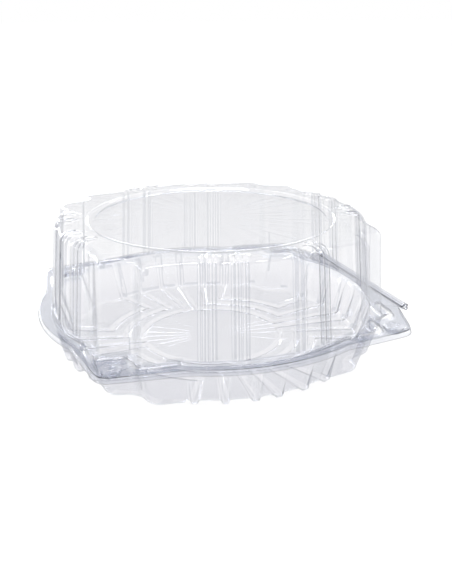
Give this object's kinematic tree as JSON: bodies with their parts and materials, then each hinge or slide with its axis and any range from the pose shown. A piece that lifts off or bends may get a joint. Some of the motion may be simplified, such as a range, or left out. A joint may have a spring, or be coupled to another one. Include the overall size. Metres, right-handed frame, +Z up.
{
  "type": "plastic cake container",
  "caption": "Clear hinged bakery container: a fluted tray and a tall ribbed dome lid with notched corners, a rim with four ears, a sealing ridge and snap dimples.",
  "frame": {"origin": "centre of the closed container, on the surface it stands on", "axes": "+X towards the hinge, +Z up, -Y towards the side that the picture shows in front"},
  "size_m": [0.2644, 0.2644, 0.1002],
  "materials": {
    "clear_sheet": "gloss"
  },
  "bodies": {
    "tray": {"base_tray": "clear_sheet"},
    "lid": {"lid_dome": "clear_sheet"}
  },
  "joints": [
    {"name": "lid_hinge", "type": "hinge", "parent": "tray", "child": "lid", "pos_m": [0.12999, 0, 0.03265], "axis": [0, 1, 0], "range_deg": [0, 180]}
  ]
}
